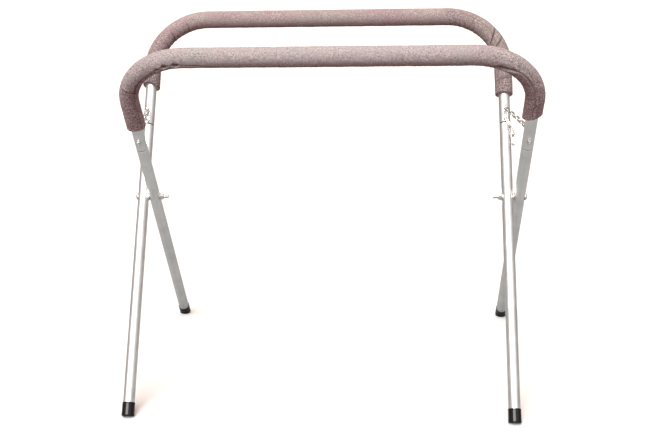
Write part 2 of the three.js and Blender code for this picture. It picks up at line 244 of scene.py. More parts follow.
def foam_material():
    """Closed-cell foam: taupe skin with mauve patches, a pale and dark speckle, soft pits and paler cut faces,
    with painted shade in the creases and in each sleeve's tone.
    """
    n = Nodes("foam")
    patches = n.noise(7, 4, 0.6)
    skin = n.ramp(patches, (0.36, FOAM_MAUVE), (0.50, FOAM_TAUPE), (0.64, FOAM_GREY))
    # each sleeve's tone, which carries painted shade: the rear sleeves darken toward their leg ends
    skin = n.mix(1.0, skin, n.attribute("shade", "Vector"), "MULTIPLY")
    grain = n.noise(340, 4, 0.7)
    fine = n.noise(1100, 2, 0.6)
    strength = n.ramp(n.noise(45, 2, 0.5), (0.35, 0.45), (0.62, 1.0))
    strength = n.maths("MULTIPLY", strength, n.attribute("worn"))
    pale = n.maths("ADD", grain, n.maths("MULTIPLY", fine, 0.12))
    pale = n.ramp(pale, (0.57, 0.0), (0.66, 1.0))
    dark = n.ramp(grain, (0.37, 1.0), (0.47, 0.0))
    colour = n.mix(n.maths("MULTIPLY", pale, strength), skin, FOAM_PALE)
    colour = n.mix(n.maths("MULTIPLY", dark, strength), colour, FOAM_DARK)
    colour = n.mix(n.maths("MULTIPLY", n.attribute("cut"), 0.85), colour, FOAM_CUT)
    # painted shade: the creases darken with their depth
    colour = n.mix(n.attribute("crease"), colour, FOAM_CREASE_SHADE)
    low = n.bump(n.noise(150, 4, 0.6), 0.7, 0.9 * MM)
    normal = n.bump(n.cells(520), 0.7, 0.4 * MM, low)
    rough = n.ramp(grain, (0.3, 0.95), (0.7, 0.7))
    return n.set(colour=colour, roughness=rough, normal=normal, sheen=0.12, sheen_roughness=0.5)


def zinc_material(name, tint, dull, drawn):
    """Bright zinc plate: cloudy, with dull marks.

    Drawn tube has fine lines along it, and painted shade inside its bore, on its spigot and on its end chamfers.
    """
    n = Nodes(name)
    cloud = n.ramp(n.noise(26, 3, 0.5), (0.35, 0.0), (0.65, 1.0))
    marks = n.ramp(n.noise(120, 5, 0.75), (0.62, 0.0), (0.78, 1.0))
    if drawn:
        vector = n.attribute("grain", "Vector")
        lines = n.add("ShaderNodeMapping", {"Vector": vector, "Scale": DRAWN_LINES})
        streaks = n.noise(1.0, 3, 0.6, lines.outputs["Vector"])
    else:
        streaks = n.noise(700, 3, 0.6)
    pale = tuple(min(1.0, 1.04 * c) for c in tint)
    deep = tuple(0.90 * c for c in tint)
    colour = n.mix(cloud, deep, pale)
    colour = n.mix(n.maths("MULTIPLY", marks, 0.25), colour, DULL_MARK)
    if drawn:
        # painted shade, by distance from the tube's axis
        section = n.vector_maths("MULTIPLY", vector, (1, 1, 0)).outputs["Vector"]
        radius = n.vector_maths("LENGTH", section).outputs["Value"]
        bore, skin = BORE_EDGE
        stops = ((bore / PAINTED_SHADE_REACH, 1.0), (skin / PAINTED_SHADE_REACH, 0.0))
        inside = n.ramp(n.maths("MULTIPLY", radius, 1 / PAINTED_SHADE_REACH), *stops)
        colour = n.mix(inside, colour, BORE_PAINTED_SHADE)
    rough = n.maths("ADD", n.maths("MULTIPLY", streaks, 0.12), dull)
    rough = n.maths("ADD", rough, n.maths("MULTIPLY", marks, 0.15))
    normal = n.bump(streaks, 0.15, 0.06 * MM)
    return n.set(colour=colour, roughness=rough, normal=normal, metallic=1.0)


def vinyl_material():
    """Dipped black vinyl: glossy, with faint waves and scuffs."""
    n = Nodes("black_vinyl")
    scuff = n.ramp(n.noise(260, 5, 0.7), (0.60, 0.0), (0.76, 1.0))
    colour = n.mix(n.maths("MULTIPLY", scuff, 0.5), VINYL_BLACK, VINYL_SCUFF)
    rough = n.ramp(scuff, (0.0, 0.14), (1.0, 0.42))
    normal = n.bump(n.noise(60, 2, 0.5), 0.25, 0.4 * MM)
    return n.set(colour=colour, roughness=rough, normal=normal, specular=0.42)


def floor_material():
    """Plain pale floor. It looks white, and bounces and mirrors less light than it shows."""
    n = Nodes("pale_floor")
    path = n.add("ShaderNodeLightPath").outputs
    colour = n.mix(path["Is Diffuse Ray"], FLOOR_MIRRORED, FLOOR_BOUNCE)
    colour = n.mix(path["Is Camera Ray"], colour, FLOOR_SEEN)
    return n.set(colour=colour, roughness=1.0, specular=0.0)


FOAM = foam_material()
ZINC = zinc_material("zinc_tube", (0.93, 0.915, 0.91), 0.33, True)
PLATED = zinc_material("plated_hardware", (0.90, 0.89, 0.87), 0.24, False)
CHAIN = zinc_material("chain_wire", (0.80, 0.77, 0.73), 0.15, False)
VINYL = vinyl_material()


# ---------- meshes ----------

def new_object(name, bm, material, smooth_angle=40):
    mesh = bpy.data.meshes.new(name)
    bmesh.ops.recalc_face_normals(bm, faces=bm.faces)
    bm.to_mesh(mesh)
    bm.free()
    mesh.materials.append(material)
    mesh.shade_smooth()
    mesh.set_sharp_from_angle(angle=math.radians(smooth_angle))
    obj = bpy.data.objects.new(name, mesh)
    bpy.context.scene.collection.objects.link(obj)
    return obj


def ring_of(bm, points):
    return [bm.verts.new(point) for point in points]


def bridge(bm, a, b):
    """Quads between two closed rings of the same count."""
    count = len(a)
    for i in range(count):
        k = (i + 1) % count
        bm.faces.new((a[i], a[k], b[k], b[i]))


def loft(bm, rings, closed=False):
    """Rings of points joined in order; a closed loft joins the last to the first."""
    made = [ring_of(bm, ring) for ring in rings]
    for a, b in zip(made, made[1:]):
        bridge(bm, a, b)
    if closed:
        bridge(bm, made[-1], made[0])
    return made


def circle_points(radius, height, sides=SIDES):
    angles = [2 * math.pi * i / sides for i in range(sides)]
    return [Vector((radius * math.cos(a), radius * math.sin(a), height)) for a in angles]


def turned(name, profile, material, sides=SIDES, closed=False, shape=None):
    """Turned about Z from (radius, height) pairs. shape moves each point."""
    bm = bmesh.new()
    rings = [circle_points(radius, height, sides) for radius, height in profile]
    shaped = [[shape(point) for point in ring] for ring in rings] if shape else rings
    grain = bm.verts.layers.float_vector.new("grain")
    made = loft(bm, shaped, closed)
    for verts, points in zip(made, rings):
        for vert, point in zip(verts, points):
            vert[grain] = point
    if not closed:
        bm.faces.new(made[0])
        bm.faces.new(made[-1])
    return new_object(name, bm, material)


def arc(centre, radius, start, end, steps):
    """(radius, height) points of a rounded edge; angles in degrees."""
    points = []
    for i in range(steps + 1):
        angle = math.radians(start + (end - start) * i / steps)
        points.append((centre[0] + radius * math.cos(angle), centre[1] + radius * math.sin(angle)))
    return points


# ---------- where things are ----------

def frame_matrix(prefix):
    """From a frame's own axes, its pivot at the origin and its legs along Z, to the stand's."""
    turn = 0 if prefix == "rear" else math.pi
    rise = Matrix.Translation((0, 0, PIVOT.z))
    spin = Matrix.Rotation(turn, 4, "Z")
    shift = Matrix.Translation((-FRAME_OFFSET / 2, 0, 0))
    return rise @ spin @ shift @ Matrix.Rotation(-LEAN, 4, "X")


FRAMES = {prefix: frame_matrix(prefix) for prefix in ("rear", "front")}


def own_side(prefix, label):
    """-1 or 1 in the frame's own axes. The front frame is turned half round."""
    side = -1 if label == "left" else 1
    return side if prefix == "rear" else -side


def leg_matrix(prefix, label, height=0.0):
    """From the axes of one leg, at a height above its pivot, to the stand's."""
    x = own_side(prefix, label) * FRAME_WIDTH / 2
    return FRAMES[prefix] @ Matrix.Translation((x, 0, height))


def place_piece(obj, matrix, body, node):
    obj.data.transform(matrix)
    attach(obj, body)
    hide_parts(node)


def on_frame(side, height):
    """(point, tangent) on one half of the U, at a length from the pivot along leg and bend."""
    half = FRAME_WIDTH / 2
    bend_start = RAIL_ABOVE_PIVOT - BEND_RADIUS
    if height <= bend_start:
        return Vector((side * half, 0, height)), Vector((0, 0, 1))
    angle = min(math.pi / 2, (height - bend_start) / BEND_RADIUS)
    x = half - BEND_RADIUS + BEND_RADIUS * math.cos(angle)
    z = bend_start + BEND_RADIUS * math.sin(angle)
    return Vector((side * x, 0, z)), Vector((-side * math.sin(angle), 0, math.cos(angle)))


# ---------- frame pieces ----------

def tube_stations():
    """(point, tangent, length so far) along the U, from one end to the other."""
    bend_start = RAIL_ABOVE_PIVOT - BEND_RADIUS
    low = JOINT_ABOVE_PIVOT + JOINT_SHOWS / 2
    high = bend_start + BEND_RADIUS * math.pi / 2
    rail = FRAME_WIDTH - 2 * BEND_RADIUS
    heights = [low, low + TUBE_EDGE, bend_start]
    for i in range(1, BEND_STEPS + 1):
        heights.append(bend_start + (high - bend_start) * i / BEND_STEPS)
    stations = []
    for height in heights:
        point, tangent = on_frame(-1, height)
        stations.append((point, tangent, height))
    for height in reversed(heights):
        point, tangent = on_frame(1, height)
        stations.append((point, -tangent, 2 * high + rail - height))
    return stations


def top_tube(prefix):
    """The bent U, hollow, with its two ends chamfered."""
    stations = tube_stations()
    last = len(stations) - 1
    order = [(k, TUBE_RADIUS - (TUBE_EDGE if k in (0, last) else 0)) for k in range(last + 1)]
    order += [(k, TUBE_RADIUS - TUBE_WALL) for k in range(last, -1, -1)]
    bm = bmesh.new()
    grain = bm.verts.layers.float_vector.new("grain")
    rings = []
    for k, radius in order:
        point, tangent, along = stations[k]
        outward = tangent.cross(ACROSS)
        ring = []
        for i in range(SIDES):
            angle = 2 * math.pi * i / SIDES
            x = radius * math.cos(angle)
            y = radius * math.sin(angle)
            vert = bm.verts.new(point + x * outward + y * ACROSS)
            vert[grain] = (x, y, along)
            ring.append(vert)
        rings.append(ring)
    for a, b in zip(rings, rings[1:] + rings[:1]):
        bridge(bm, a, b)
    tube = new_object(f"{prefix}_top_tube_drawn", bm, ZINC)
    place_piece(tube, FRAMES[prefix], f"{prefix}_frame", f"{prefix}_top_tube")


def dented(point):
    """The pivot bolt's squeeze: the sides are pressed in and the tube bulges front and rear."""
    past = (abs(point.z) - DENT_FLAT) / (DENT_LENGTH - DENT_FLAT)
    if past >= 1:
        return point
    share = 0.5 * (1 + math.cos(math.pi * min(1, max(0, past))))
    radius = math.hypot(point.x, point.y)
    limit = radius - DENT_DEPTH * share
    x = max(-limit, min(limit, point.x))
    bulge = 1 + DENT_BULGE * share * abs(point.y) / radius
    return Vector((x, point.y * bulge, point.z))


def lower_leg(prefix, label):
    """A tube squeezed at its pivot, with a narrower spigot that goes up into the bent tube."""
    inner = TUBE_RADIUS - TUBE_WALL
    bottom = LEG_END_ABOVE_FLOOR - LEG_BELOW_PIVOT
    shoulder = JOINT_ABOVE_PIVOT - GAP - JOINT_SHOWS / 2
    top = JOINT_ABOVE_PIVOT + SPIGOT_LENGTH
    edge = 1 * MM
    dents = [DENT_LENGTH * (i / DENT_STEPS - 1) for i in range(2 * DENT_STEPS + 1)]
    outer = [(inner, bottom), (TUBE_RADIUS, bottom)]
    outer += [(TUBE_RADIUS, z) for z in dents]
    outer += [(TUBE_RADIUS, shoulder - edge), (TUBE_RADIUS - edge, shoulder)]
    outer += [(SPIGOT_RADIUS, shoulder), (SPIGOT_RADIUS, top)]
    neck = SPIGOT_RADIUS - TUBE_WALL
    hollow = [(neck, top), (neck, shoulder - NECK_LENGTH), (inner, shoulder - 2 * NECK_LENGTH)]
    hollow += [(inner, z) for z in reversed(dents)]
    name = f"{prefix}_leg_{label}"
    leg = turned(f"{name}_drawn", outer + hollow, ZINC, closed=True, shape=dented)
    place_piece(leg, leg_matrix(prefix, label), f"{prefix}_frame", name)


def foot_cap(prefix, label):
    """A dipped cap with a rolled rim, its square end worn flat on the floor."""
    top = CAP_LENGTH - LEG_BELOW_PIVOT
    bottom = -LEG_BELOW_PIVOT
    end = bottom + CAP_END_ABOVE_FLOOR
    wall = CAP_RADIUS - 0.6 * MM
    rim = 0.9 * MM  # radius of the roll
    rim_height = top - 2 * rim
    edge = 1.4 * MM
    socket = TUBE_RADIUS + 0.15 * MM
    socket_end = bottom + LEG_END_ABOVE_FLOOR
    profile = [(CAP_AXIS, end)]
    profile += arc((wall + 0.2 * MM - edge, end + edge), edge, -90, 0, 6)
    profile += [(wall, bottom + 11 * MM), (wall, top - 4 * MM)]
    profile += arc((wall + 0.3 * MM - rim, rim_height), rim, -40, 90, 8)
    profile += arc((TUBE_RADIUS + GAP + rim / 2, rim_height), rim, 90, 180, 4)
    profile += [(socket, rim_height - rim), (socket, socket_end), (CAP_AXIS, socket_end)]
    name = f"{prefix}_foot_cap_{label}"
    foot = turned(f"{name}_dipped", profile, VINYL)
    wear_flat(foot, Vector((0, 0, bottom)))
    place_piece(foot, leg_matrix(prefix, label), f"{prefix}_frame", name)


def wear_flat(foot, point):
    """Cut a cap off at the floor, which goes through a point of its leg's axis."""
    down = Vector((0, math.sin(LEAN), -math.cos(LEAN)))
    bm = bmesh.new()
    bm.from_mesh(foot.data)
    geometry = bm.verts[:] + bm.edges[:] + bm.faces[:]
    cut = bmesh.ops.bisect_plane(
        bm, geom=geometry, plane_co=point, plane_no=down, clear_outer=True
    )
    edges = [item for item in cut["geom_cut"] if isinstance(item, bmesh.types.BMEdge)]
    bmesh.ops.contextual_create(bm, geom=edges)
    bm.to_mesh(foot.data)
    bm.free()
    foot.data.set_sharp_from_angle(angle=math.radians(40))


# ---------- pads ----------

# Foam sleeves are cut open lengthwise, pushed over the tube and bunched in the bends.
# Places along a sleeve are in millimetres from its end on the leg, or from its left end on a rail.
# Angles go round it: 0 faces away from the bend's centre, 90 faces the frame's own +Y side.
# seed: picks the sleeve's own swellings.
# slit: (place, angle) points that it runs through. openings: (place, length, width).
# creases: (place, middle angle, reach in degrees, depth, slope).
# slant: (angle, height), the side on which the leg end is cut lower, or higher if negative.
# lift: how far short of the frame's nominal place the leg end stops.
# shades, worn: tone of the foam with painted shade (the rear sleeves darker toward their leg ends, where the front
# frame shades them), and strength of its speckle, at the first end and at the last.
PADS = {
    "rear_pad_left": {
        "seed": 19,
        "slit": [(0, 165), (251, 175)],
        "openings": [],
        "creases": [
            (146, 190, 75, 2.2, 6),
            (98, 175, 55, 1.2, -4),
            (196, 200, 60, 1.0, 5),
        ],
        "slant": (153, 4.5),
        "lift": 0,
        # painted shadow of the front frame: darker toward the leg end
        "shades": [(0.30, 0.26, 0.245), (0.90, 0.84, 0.80)],
        "worn": (0.8, 0.5),
    },
    "rear_pad_right": {
        "seed": 21,
        "slit": [(0, -150), (112, -125), (167, -88), (283, -80)],
        "openings": [],
        "creases": [
            (154, -95, 75, 2.8, 24),
            (131, -85, 60, 2.2, 22),
            (214, -115, 50, 0.9, 8),
            (112, 180, 60, 1.3, -5),
            (38, -90, 120, 1.3, 7),
        ],
        "slant": (-90, 0.5),
        "lift": 5,
        # painted shadow of the front rail: darker toward the leg end
        "shades": [(0.44, 0.41, 0.375), (0.74, 0.70, 0.65)],
        "worn": (0.55, 0.6),
    },
    "front_pad_left": {
        "seed": 26,
        "slit": [
            (0, 150),
            (110, 130),
            (160, 112),
            (205, 106),
            (228, 98),
            (246, 89),
            (283, 91),
        ],
        "openings": [(150, 70, 3.0), (229, 12, 7.0), (246, 18, 12.0), (270, 21, 14.0)],
        "creases": [
            (129, 80, 95, 1.8, 2),
            (133, 130, 45, 1.1, -5),
            (112, 150, 60, 1.2, -7),
            (141, 150, 60, 1.5, 6),
            (153, 135, 40, 1.1, -8),
            (122, 95, 40, 0.8, 7),
            (176, 125, 55, 1.5, 9),
            (190, 140, 50, 1.2, -6),
        ],
        "slant": (100, -8.0),
        "lift": 0,
        "shades": [(1.05, 0.86, 0.88), (0.985, 0.985, 0.985)],
        "worn": (1.7, 0.6),
    },
    "front_pad_right": {
        "seed": 24,
        "slit": [
            (0, 104),
            (60, 92),
            (110, 82),
            (150, 76),
            (166, 84),
            (192, 101),
            (215, 115),
            (251, 122),
        ],
        "openings": [(190, 70, 16.0), (20, 50, 1.6)],
        "creases": [
            (122, 150, 60, 1.2, 6),
            (140, 175, 50, 1.4, -5),
            (80, 165, 60, 0.9, 4),
            (30, 40, 50, 0.7, 12),
            (163, 50, 40, 0.8, -10),
        ],
        "slant": (45, -11.0),
        "lift": 0,
        "shades": [(0.97, 0.81, 0.85), (0.975, 0.965, 0.965)],
        "worn": (1.7, 0.6),
    },
    "rear_pad_centre": {
        "seed": 8,
        "slit": [(0, 180), (570, 172)],
        "openings": [],
        "creases": [(60, -60, 50, 0.5, 10), (430, -120, 60, 0.5, -12)],
        "slant": (0, 0),
        "lift": 0,
        # partly painted shade: darker than the front rail
        "shades": [(0.86, 0.80, 0.77), (0.86, 0.80, 0.77)],
        "worn": (0.5, 0.5),
    },
    "front_pad_centre": {
        "seed": 10,
        "slit": [(0, 122), (300, 120), (480, 114), (570, 92)],
        "openings": [(285, 640, 1.6), (540, 40, 2.6)],
        "creases": [(150, 60, 50, 0.5, 12), (380, 80, 60, 0.4, -10)],
        "slant": (0, 0),
        "lift": 0,
        "shades": [(0.985, 0.995, 0.995), (0.99, 1.01, 1.01)],
        "worn": (0.6, 0.6),
    },
}
LIP = 1.8 * MM  # rounding of the slit's outer edges
RUBBED = 2.2 * MM  # width of the paler band along them
END_ROLL = 1.8 * MM  # rounding of a sleeve's end on the leg
SEAM_ROLL = 0.3 * MM  # and where it meets the next sleeve
PUCKER = 0.7  # millimetres that the skin beside the slit stands up, in waves
PUCKER_MIDDLE = 4  # millimetres from the slit's edge
PUCKER_SPREAD = 2.2
SLIT_SHUT = 0.12 * MM  # half the slit's width where it is closed
SKIN_BELOW = 0.7 * MM  # the smooth skin lies this far inside PAD_RADIUS
SWELLINGS = ((0.45, 34), (0.22, 110))  # (millimetres, waves in a metre)
CREASE_SPREAD = 1.9  # millimetres to each side
BUNCHES = 13  # millimetres between the folds inside a bend
BUNCH_DEPTH = 1.3  # millimetres
BORE_FLARE = (1.2 * MM, 0.7 * MM)  # length and height of the bore's rounded ends
SLANT_LENGTH = 28 * MM  # a slanted end fades out over this length
SECTION = 88  # points round a sleeve's outside


def between(points, place):
    """The value at a place, straight between (place, value) points."""
    for (a, low), (b, high) in zip(points, points[1:]):
        if place <= b:
            share = min(1.0, max(0.0, (place - a) / (b - a)))
            return low + share * (high - low)
    return points[-1][1]


def angle_apart(a, b):
    return abs((a - b + 180) % 360 - 180)


def slit_half_width(detail, place):
    half = SLIT_SHUT
    for centre, length, width in detail["openings"]:
        share = abs(place - centre) / (length / 2)
        if share < 1:
            half += width * MM / 2 * (0.5 + 0.5 * math.cos(math.pi * share)) ** 0.8
    return half


def crease_depth(detail, place, angle):
    """How far the creases push the skin in, in millimetres, with a low ridge beside each."""
    depth = 0.0
    for centre, middle, reach, most, slope in detail["creases"]:
        apart = angle_apart(angle, middle)
        if apart >= reach:
            continue
        fade = math.cos(math.pi / 2 * apart / reach)
        skew = slope * ((angle - middle + 180) % 360 - 180) / 90
        line = (place - centre - skew) / CREASE_SPREAD
        depth += most * fade * math.exp(-line * line)
        depth -= 0.3 * most * fade * math.exp(-((line - 2.4) ** 2) / 2)
    return depth


def bunching(place, angle, bend):
    """Fine folds where the sleeve is squeezed on the inside of a bend, in millimetres."""
    start, end = bend
    if not start < place < end:
        return 0.0
    inside = max(0.0, -math.cos(math.radians(angle))) ** 1.5
    ends = math.sin(math.pi * (place - start) / (end - start))
    wander = 2.2 * noise.noise((place / 30, angle / 60, 0))
    wave = math.sin(math.pi * place / BUNCHES + wander)
    return BUNCH_DEPTH * inside * ends**0.5 * math.exp(-((wave / 0.28) ** 2))


def rolled(near_end, roll):
    """How far in a rounded end draws the skin."""
    if near_end >= roll:
        return 0.0
    return roll - math.sqrt(max(0.0, roll**2 - (roll - near_end) ** 2))


def pad_places(total, rolls):
    """Lengths along a sleeve: close together at its rounded ends, then in even steps."""
    shares = (0, 0.08, 0.25, 0.5, 0.75, 1)
    first = [share * rolls[0] for share in shares]
    last = [total - share * rolls[1] for share in reversed(shares)]
    start, end = first[-1], last[0]
    count = max(1, round((end - start) / STEP))
    return first + [start + (end - start) * i / count for i in range(1, count)] + last


class Sleeve:
    """A slit foam sleeve, ring by ring along its path.

    path gives (point, tangent, outward) at a length along it. bend is the squeezed part, in
    millimetres. rolls are the two ends' roundings.
    """

    def __init__(self, node, path, total, bend, rolls):
        self.detail = PADS[node]
        self.path = path
        self.total = total
        self.bend = bend
        self.rolls = rolls
        seed = self.detail["seed"]
        self.offset = Vector((seed * 3.1, seed * 7.7, 0))
        self.shades = [Vector(shade) for shade in self.detail["shades"]]
        self.bm = bmesh.new()
        layers = self.bm.verts.layers
        self.numbers = {name: layers.float.new(name) for name in ("crease", "cut", "worn")}
        self.shade = layers.float_vector.new("shade")

    def vert(self, position, crease, cut, worn, shade):
        vert = self.bm.verts.new(position)
        vert[self.numbers["crease"]] = crease
        vert[self.numbers["cut"]] = cut
        vert[self.numbers["worn"]] = worn
        vert[self.shade] = shade
        return vert

    def waves(self, place):
        """How high the skin beside the slit stands, from 0.2 to 1."""
        wander = 2 * noise.noise((place / 40, self.detail["seed"], 0))
        return 0.6 + 0.4 * math.sin(place * 0.62 + wander)

    def end_shift(self, along, angle):
        """How far down a slanted or short end moves a point."""
        slant_angle, slant = self.detail["slant"]
        lower = slant * math.cos(angle - math.radians(slant_angle)) - self.detail["lift"]
        return lower * (MM * math.exp(-along / SLANT_LENGTH))

    def section(self, along):
        """The outer and inner points at one place, from one edge of the slit to the other."""
        detail = self.detail
        point, tangent, outward = self.path(along)
        place = along / MM
        slit = between(detail["slit"], place)
        half = slit_half_width(detail, place)
        start_roll, end_roll = self.rolls
        tuck = max(rolled(along, start_roll), rolled(self.total - along, end_roll))
        near_end = min(along, self.total - along)
        flare_length, flare_height = BORE_FLARE
        flare = max(0.0, 1 - near_end / flare_length) * flare_height
        first, last = detail["worn"]
        worn = first + (last - first) * along / self.total
        # tone with painted shade, going from the leg end's value to the rail end's over two thirds of the length
        shade = self.shades[0].lerp(self.shades[1], min(1.0, 1.5 * along / self.total))
        wave = self.waves(place)
        outer, inner = [], []
        for i in range(SECTION):
            u = i / (SECTION - 1)
            t = u - 0.8 * math.sin(2 * math.pi * u) / (2 * math.pi)  # closer near the slit
            for radius, ring in ((PAD_RADIUS, outer), (PAD_BORE + flare, inner)):
                open_angle = math.asin(min(0.99, half / radius))
                angle = math.radians(slit) + open_angle + t * 2 * (math.pi - open_angle)
                direction = math.cos(angle) * outward + math.sin(angle) * ACROSS
                dark, cut = 0.0, 1.0
                if ring is outer:
                    degrees = math.degrees(angle)
                    spot = point + radius * direction
                    swell = sum(
                        height * noise.noise(spot * waves + self.offset)
                        for height, waves in SWELLINGS
                    )
                    crease = crease_depth(detail, place, degrees)
                    crease += bunching(place, degrees, self.bend)
                    lip = min(t, 1 - t) * 2 * (math.pi - open_angle) * radius
                    beside = (lip / MM - PUCKER_MIDDLE) / PUCKER_SPREAD
                    stands = PUCKER * wave * math.exp(-(beside**2)) * min(1.0, worn)
                    inwards = max(tuck, rolled(lip, LIP))
                    radius = radius - SKIN_BELOW - inwards + (swell + stands - crease) * MM
                    # painted shade in the creases, by their depth
                    dark = min(1.0, 0.5 * max(0.0, crease))
                    rubbed = max(0.0, 1 - lip / RUBBED)
                    cut = 0.6 * rubbed * min(1.0, half / (0.6 * MM))
                position = point + radius * direction - self.end_shift(along, angle) * tangent
                ring.append(self.vert(position, dark, cut, worn, shade))
        return outer, inner

    def build(self):
        sections = [self.section(along) for along in pad_places(self.total, self.rolls)]
        new_face = self.bm.faces.new
        last = SECTION - 1
        for (a, c), (b, d) in zip(sections, sections[1:]):
            for i in range(last):
                new_face((a[i], a[i + 1], b[i + 1], b[i]))
                new_face((c[i + 1], c[i], d[i], d[i + 1]))
            new_face((a[0], b[0], d[0], c[0]))
            new_face((a[last], c[last], d[last], b[last]))
        for outer, inner in (sections[0], sections[-1]):
            for i in range(last):
                new_face((outer[i], outer[i + 1], inner[i + 1], inner[i]))
        return self.bm


def pad(node, prefix, path, total, bend, rolls):
    bm = Sleeve(node, path, total, bend, rolls).build()
    sleeve = new_object(f"{node}_foam", bm, FOAM, 60)
    place_piece(sleeve, FRAMES[prefix], f"{prefix}_frame", node)


def end_pad(prefix, label):
    """The sleeve over one bend and the upper part of its leg."""
    side = own_side(prefix, label)
    start_z = PAD_END_ABOVE_PIVOT - side * PAD_SLIP
    straight = RAIL_ABOVE_PIVOT - BEND_RADIUS - start_z
    total = straight + BEND_RADIUS * math.pi / 2

    def path(along):
        point, tangent = on_frame(side, start_z + along)
        return point, tangent, side * ACROSS.cross(tangent)

    bend = (straight / MM - 10, total / MM)
    pad(f"{prefix}_pad_{label}", prefix, path, total, bend, (END_ROLL, SEAM_ROLL))


def centre_pad(prefix):
    """The sleeve along the rail."""
    half = FRAME_WIDTH / 2 - BEND_RADIUS

    def path(along):
        point = Vector((along - half, 0, RAIL_ABOVE_PIVOT))
        return point, Vector((1, 0, 0)), Vector((0, 0, 1))

    pad(f"{prefix}_pad_centre", prefix, path, 2 * half, (0, 0), (SEAM_ROLL, SEAM_ROLL))


# ---------- fasteners ----------

def hexagon(across):
    """Distance from the axis to a hexagon's side at each of the angles."""
    radii = []
    for i in range(NUT_SIDES):
        within = (2 * math.pi * i / NUT_SIDES) % (math.pi / 3) - math.pi / 6
        radii.append(across / 2 / math.cos(within))
    return radii


def hex_nut(name, across, bore, thickness):
    """A nut from z = 0 to thickness, with its corners chamfered on both faces."""
    edge = 0.6 * MM
    chamfer_start = across / 2 * 0.96
    slope = math.tan(math.radians(30))
    corners = hexagon(across)
    drops = [slope * max(0.0, radius - chamfer_start) for radius in corners]

    def ring(radii, heights):
        points = []
        for i, (radius, height) in enumerate(zip(radii, heights)):
            angle = 2 * math.pi * i / NUT_SIDES
            points.append(Vector((radius * math.cos(angle), radius * math.sin(angle), height)))
        return points

    def even(radius, height):
        return ring([radius] * NUT_SIDES, [height] * NUT_SIDES)

    low = [even(bore, edge), even(bore + edge, 0), even(chamfer_start, 0), ring(corners, drops)]
    high = [[Vector((p.x, p.y, thickness - p.z)) for p in points] for points in reversed(low)]
    bm = bmesh.new()
    loft(bm, low + high, closed=True)
    return new_object(name, bm, PLATED, 25)


def thread_profile(radius, start, end, pitch, depth):
    """(radius, height) points of a threaded rod: a groove for each pitch."""
    points = []
    count = max(1, int((end - start) / pitch))
    for i in range(count):
        z = start + i * pitch
        points += [(radius - depth, z), (radius, z + 0.4 * pitch), (radius, z + 0.6 * pitch)]
    points.append((radius - depth, start + count * pitch))
    return points


def pivot_bolt_profile(tip, nut_face, head):
    """A threaded shank with a domed head, from its tip up."""
    edge = 0.6 * MM
    profile = [(BOLT_AXIS, tip), (PIVOT_RADIUS - 1 * MM, tip)]
    profile += [(PIVOT_RADIUS - 0.4 * MM, tip + edge)]
    thread_end = nut_face + 4 * MM
    profile += thread_profile(PIVOT_RADIUS, tip + edge, thread_end, *PIVOT_THREAD)
    profile += [(PIVOT_RADIUS, thread_end + 1 * MM), (PIVOT_RADIUS, head)]
    profile += [(PIVOT_HEAD_RADIUS - 0.3 * MM, head)]
    rim = 0.24 * PIVOT_HEAD_HEIGHT
    for i in range(DOME_STEPS + 1):
        angle = math.pi / 2 * i / DOME_STEPS
        radius = max(BOLT_AXIS, PIVOT_HEAD_RADIUS * math.cos(angle))
        profile.append((radius, head + rim + (PIVOT_HEAD_HEIGHT - rim) * math.sin(angle)))
    return profile


def pivot_set(label):
    """Bolt, spacer, washer and nut at one pivot. Outward is +X in their own axes."""
    side = -1 if label == "left" else 1
    outer_face = FRAME_OFFSET / 2 + TUBE_RADIUS - DENT_DEPTH
    inner_face = FRAME_OFFSET / 2 - TUBE_RADIUS + DENT_DEPTH
    nut_face = -outer_face - 2 * GAP - WASHER_THICKNESS
    tip = nut_face - PIVOT_NUT_THICKNESS - PIVOT_END_LENGTH
    bore = PIVOT_RADIUS + GAP
    lie = Matrix.Rotation(math.pi / 2, 4, "Y")
    spin = Matrix.Rotation(math.pi if side < 0 else 0, 4, "Z")
    at = Matrix.Translation((side * FRAME_WIDTH / 2, 0, PIVOT.z)) @ spin

    def place(piece, node, outward=0.0):
        where = at @ Matrix.Translation((outward, 0, 0)) @ lie
        place_piece(piece, where, "rear_frame", f"{node}_{label}")

    profile = pivot_bolt_profile(tip, nut_face, outer_face + GAP)
    bolt = turned(f"pivot_bolt_{label}_turned", profile, PLATED, BOLT_SIDES)
    place(bolt, "pivot_bolt")

    half = inner_face - GAP
    barrel = [(bore, -half)]
    barrel += arc((WASHER_RADIUS - half, 0), half, -90, 90, 10)
    barrel += [(bore, half)]
    spacer = turned(f"pivot_spacer_{label}_turned", barrel, PLATED, BOLT_SIDES, closed=True)
    place(spacer, "pivot_spacer")

    edge = 0.3 * MM
    flat = [(bore, 0), (WASHER_RADIUS - edge, 0), (WASHER_RADIUS, edge)]
    flat += [(WASHER_RADIUS, WASHER_THICKNESS - edge)]
    flat += [(WASHER_RADIUS - edge, WASHER_THICKNESS), (bore, WASHER_THICKNESS)]
    washer = turned(f"pivot_washer_{label}_pressed", flat, PLATED, BOLT_SIDES, closed=True)
    place(washer, "pivot_washer", nut_face + GAP)

    name = f"pivot_nut_{label}_hex"
    nut = hex_nut(name, PIVOT_NUT_ACROSS, PIVOT_RADIUS + NUT_CLEARANCE, PIVOT_NUT_THICKNESS)
    place(nut, "pivot_nut", nut_face - PIVOT_NUT_THICKNESS)


def round_wire(bm, path, radii, sides):
    """A closed loop of round wire; each item of path is (point, tangent, side direction)."""
    rings = []
    for (point, tangent, aside), radius in zip(path, radii):
        across = tangent.cross(aside).normalized()
        ring = []
        for i in range(sides):
            angle = 2 * math.pi * i / sides
            ring.append(point + radius * (math.cos(angle) * aside + math.sin(angle) * across))
        rings.append(ring)
    loft(bm, rings, closed=True)


